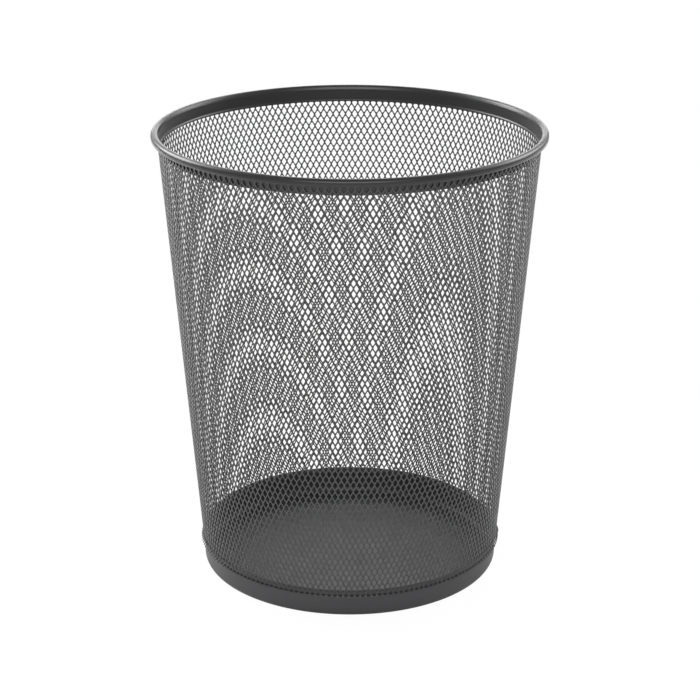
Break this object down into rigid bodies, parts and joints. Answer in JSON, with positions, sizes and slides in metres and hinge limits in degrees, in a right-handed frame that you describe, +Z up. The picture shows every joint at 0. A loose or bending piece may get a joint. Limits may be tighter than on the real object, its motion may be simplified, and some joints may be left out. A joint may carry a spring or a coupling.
{
  "type": "wastebasket",
  "caption": "Round open-top wastebasket that tapers to its foot: expanded steel mesh wall, rolled steel rim and pressed steel base pan, all in black semi-gloss paint.",
  "frame": {"origin": "centre of the foot, at floor level", "axes": "+Z up through the open top, along the basket's axis; the wall is round, so +X and +Y are any two level directions at right angles"},
  "size_m": [0.292, 0.292, 0.3425],
  "materials": {
    "rim_paint": "semi-gloss black powder coat on rolled sheet steel",
    "mesh_paint": "semi-gloss black powder coat on expanded steel mesh",
    "pan_paint": "semi-gloss black powder coat on pressed sheet steel"
  },
  "bodies": {
    "root": {"rim": "rim_paint", "mesh_wall": "mesh_paint", "base_pan": "pan_paint"}
  },
  "joints": []
}
